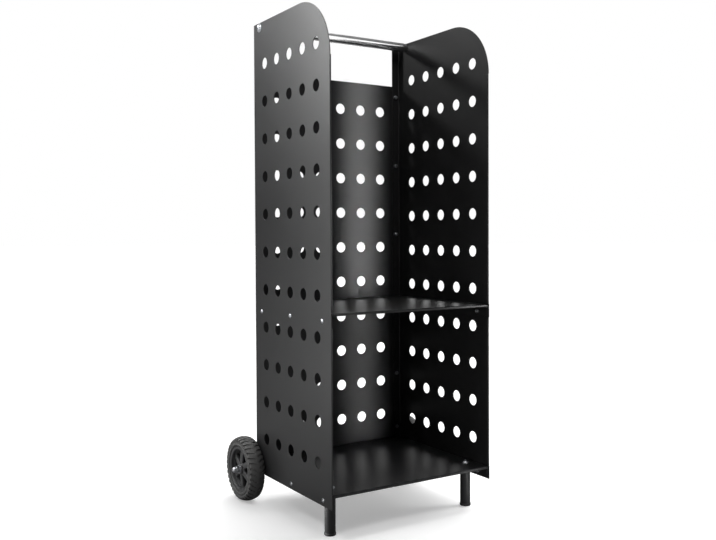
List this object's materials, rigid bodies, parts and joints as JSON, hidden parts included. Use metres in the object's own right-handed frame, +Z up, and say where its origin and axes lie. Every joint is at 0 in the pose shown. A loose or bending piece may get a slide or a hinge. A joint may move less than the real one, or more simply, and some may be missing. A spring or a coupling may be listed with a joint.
{
  "type": "fireside log cart",
  "caption": "Upright log cart in folded, perforated sheet steel with two shelves, a tube handle, two front legs and two rear wheels.",
  "frame": {"origin": "on the floor, in the middle of the overall width and of the overall depth", "axes": "+X to the cart's right seen from its open front, +Y to the rear where the wheels are, +Z up"},
  "size_m": [0.471, 0.3975, 1],
  "materials": {
    "powder_coat": "fine satin black powder coat",
    "bright_tube": "polished stainless tube",
    "zinc_steel": "bright zinc plate",
    "axle_steel": "bright drawn steel",
    "foot_plastic": "matt moulded plastic",
    "rim_plastic": "satin moulded plastic",
    "tyre_rubber": "matt black rubber"
  },
  "bodies": {
    "cart": {"left_side_panel": "powder_coat", "right_side_panel": "powder_coat", "back_panel": "powder_coat", "middle_shelf": "powder_coat", "bottom_shelf": "powder_coat", "middle_shelf_screws": "zinc_steel", "middle_shelf_nuts": "zinc_steel", "bottom_shelf_screws": "zinc_steel", "bottom_shelf_nuts": "zinc_steel", "back_panel_screws": "zinc_steel", "back_panel_nuts": "zinc_steel", "handle_tube": "bright_tube", "handle_inserts": "zinc_steel", "handle_washers": "zinc_steel", "handle_bolts": "zinc_steel", "left_front_leg": "powder_coat", "right_front_leg": "powder_coat", "leg_inserts": "zinc_steel", "leg_washers": "zinc_steel", "leg_bolts": "zinc_steel", "left_foot_cap": "foot_plastic", "right_foot_cap": "foot_plastic", "left_axle_bracket": "powder_coat", "right_axle_bracket": "powder_coat", "bracket_bolts": "zinc_steel", "bracket_nuts": "zinc_steel", "axle_rod": "axle_steel", "axle_sleeves": "axle_steel", "axle_washers": "zinc_steel", "axle_cap_nuts": "zinc_steel"},
    "left_wheel": {"left_wheel_rim": "rim_plastic", "left_tyre": "tyre_rubber"},
    "right_wheel": {"right_wheel_rim": "rim_plastic", "right_tyre": "tyre_rubber"}
  },
  "joints": [
    {"name": "left_wheel_spin", "type": "hinge", "parent": "cart", "child": "left_wheel", "pos_m": [-0.2055, 0.13175, 0.067], "axis": [1, 0, 0], "continuous": true},
    {"name": "right_wheel_spin", "type": "hinge", "parent": "cart", "child": "right_wheel", "pos_m": [0.2055, 0.13175, 0.067], "axis": [1, 0, 0], "continuous": true}
  ]
}
